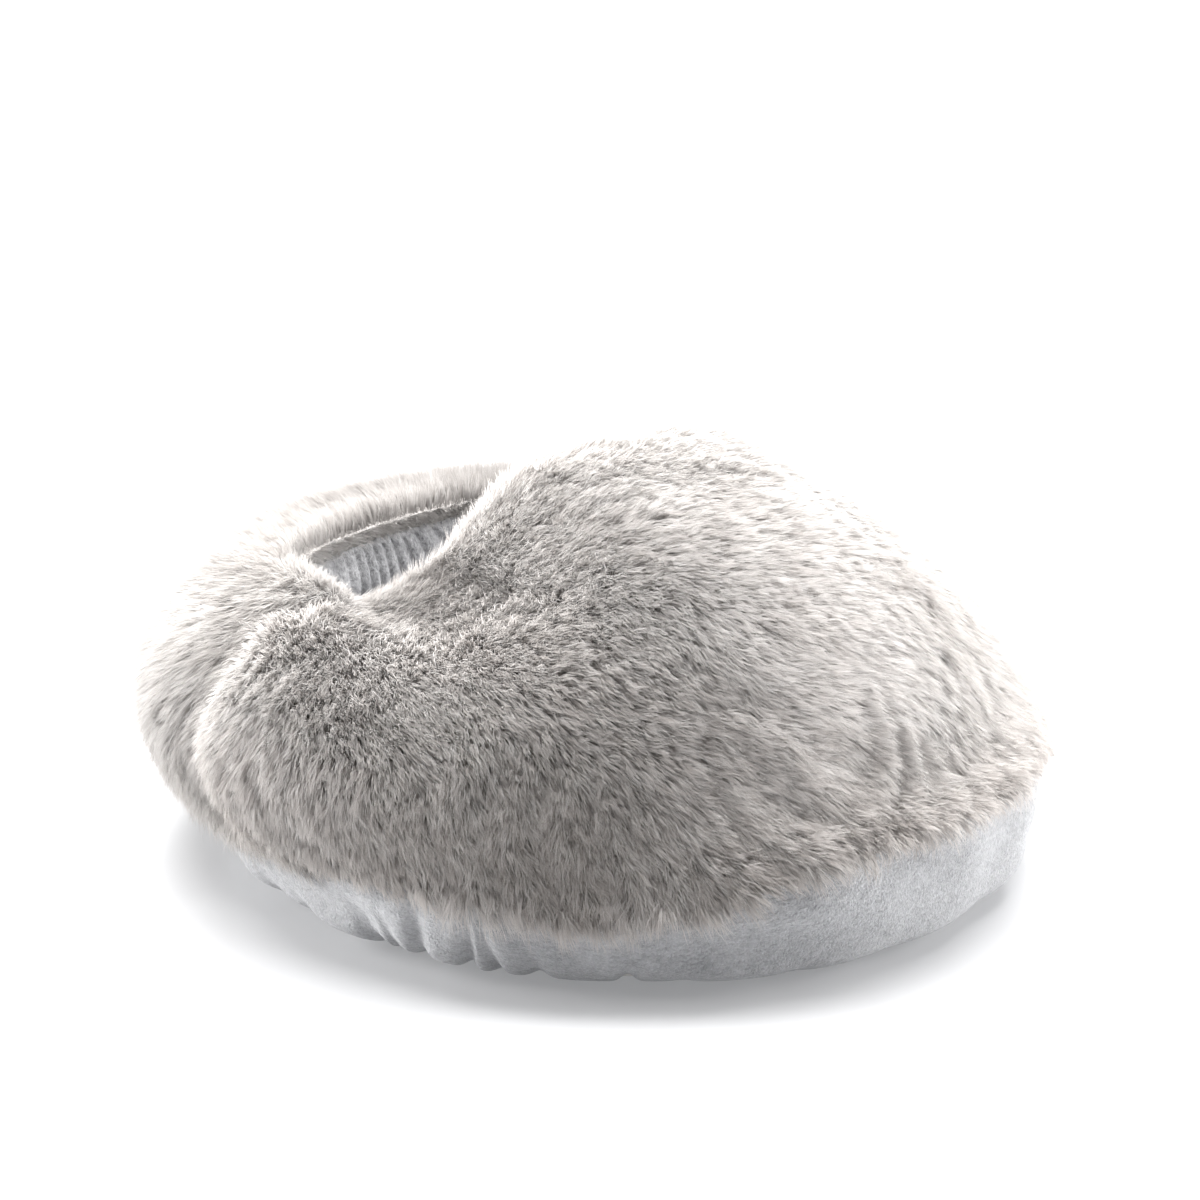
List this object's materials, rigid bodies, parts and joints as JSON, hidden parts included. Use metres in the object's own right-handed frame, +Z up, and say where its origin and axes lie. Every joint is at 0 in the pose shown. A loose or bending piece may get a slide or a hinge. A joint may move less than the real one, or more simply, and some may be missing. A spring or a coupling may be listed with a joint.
{
  "type": "electric_foot_warmer",
  "caption": "Electric foot warmer: a round plush slipper for both feet with a gathered fleece pocket, a velvet-sided foam base, a heating pad under the footbed and a mains inlet.",
  "frame": {"origin": "Centre of the bounding box in plan, on the floor that the sole rests on.", "axes": "+X across both feet towards the inlet, +Y towards the heels and the mouth, +Z up."},
  "size_m": [0.3472, 0.3795, 0.1684],
  "materials": {
    "plush": "long soft pile, light grey-beige",
    "fleece": "short coral pile, mid grey",
    "velvet": "short pile, light bluish grey",
    "wadding": "loose polyester wadding, off-white",
    "elastic": "woven elastic",
    "foam": "open-cell foam, pale yellow",
    "sole_cloth": "dark woven cloth with grip dots",
    "felt": "thin needled felt",
    "foil": "bright foil",
    "silicone": "smooth red sleeve",
    "phenolic": "black moulded case",
    "ceramic": "glazed, off-white",
    "lead_brown": "brown insulation",
    "lead_blue": "blue insulation",
    "black_plastic": "fine texture, near black",
    "grey_plastic": "plain, grey",
    "brass": "turned",
    "steel": "plated rivets"
  },
  "bodies": {
    "root": {"fur_hood": "plush", "fur_collar": "plush", "pocket_lining": "fleece", "footbed_lining": "fleece", "base_band": "velvet", "hood_wadding": "wadding", "collar_wadding": "wadding", "mouth_elastic": "elastic", "hem_elastic": "elastic", "foam_base": "foam", "sole_cloth": "sole_cloth", "heater_cover_top": "felt", "heater_cover_bottom": "felt", "reflector_foil": "foil", "heating_wire": "silicone", "thermostat": "phenolic", "thermal_fuse": "ceramic", "lead_live": "lead_brown", "lead_neutral": "lead_blue", "inlet_housing": "black_plastic", "inlet_clamp_plate": "grey_plastic", "inlet_pin_live": "brass", "inlet_pin_neutral": "brass", "clamp_rivet_front": "steel", "clamp_rivet_rear": "steel"}
  },
  "joints": []
}
